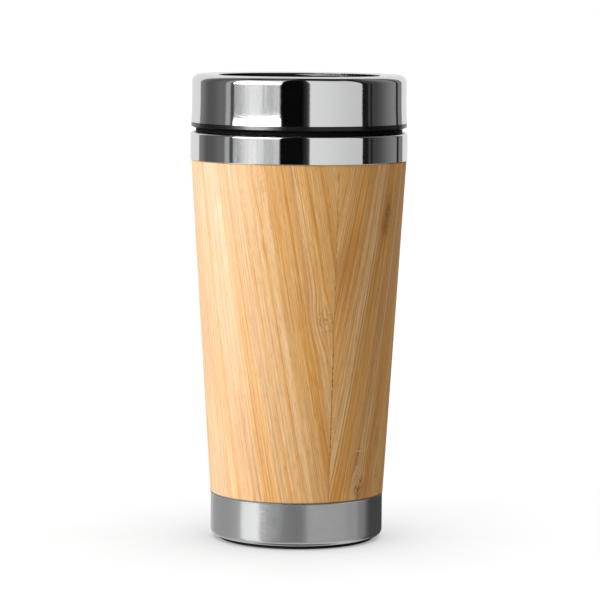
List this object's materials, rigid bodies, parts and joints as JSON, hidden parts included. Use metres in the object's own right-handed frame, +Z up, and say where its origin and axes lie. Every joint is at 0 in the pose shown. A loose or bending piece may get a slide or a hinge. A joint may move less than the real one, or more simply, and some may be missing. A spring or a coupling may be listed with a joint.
{
  "type": "drinking tumbler",
  "caption": "Double-walled steel tumbler with a bamboo veneer sleeve, polished collar, brushed base cup and a twist-on lid with a sliding drinking closure.",
  "frame": {"origin": "centre of the foot pad's underside, on the table", "axes": "+Z up along the cup's axis, -Y towards the front of the picture, +X to its right"},
  "size_m": [0.086, 0.086, 0.185],
  "materials": {
    "rubber": "matt black moulded rubber",
    "steel_brushed": "stainless steel, brushed round the axis, satin",
    "steel_polished": "stainless steel, polished bright",
    "steel_plain": "stainless steel as drawn",
    "bamboo": "bamboo veneer, grain up the cup, clear satin lacquer",
    "moulding_black": "black food-safe plastic, glossy",
    "silicone": "black silicone, matt"
  },
  "bodies": {
    "cup": {"foot_pad": "rubber", "base_cup": "steel_brushed", "shell_bottom": "steel_plain", "outer_shell": "steel_plain", "inner_cup": "steel_plain", "collar_ring": "steel_polished", "bamboo_sleeve": "bamboo"},
    "seal": {"lid_gasket": "silicone"},
    "lid": {"lid_plug": "moulding_black", "lid_body": "moulding_black", "lid_cover": "steel_polished"},
    "closure": {"slider": "moulding_black", "slider_seal": "silicone"}
  },
  "joints": [
    {"name": "lid_lift", "type": "slide", "parent": "cup", "child": "seal", "axis": [0, 0, 1], "range_m": [0, 0.036]},
    {"name": "lid_turn", "type": "hinge", "parent": "seal", "child": "lid", "pos_m": [0, 0, 0.1619], "axis": [0, 0, 1], "range_deg": [0, 1080]},
    {"name": "slider_open", "type": "slide", "parent": "lid", "child": "closure", "axis": [-0.5736, 0.8192, 0], "range_m": [0, 0.013]}
  ],
  "couplings": [
    {"joint": "lid_lift", "follows": "lid_turn", "m_per_rad": 0.0019098}
  ]
}
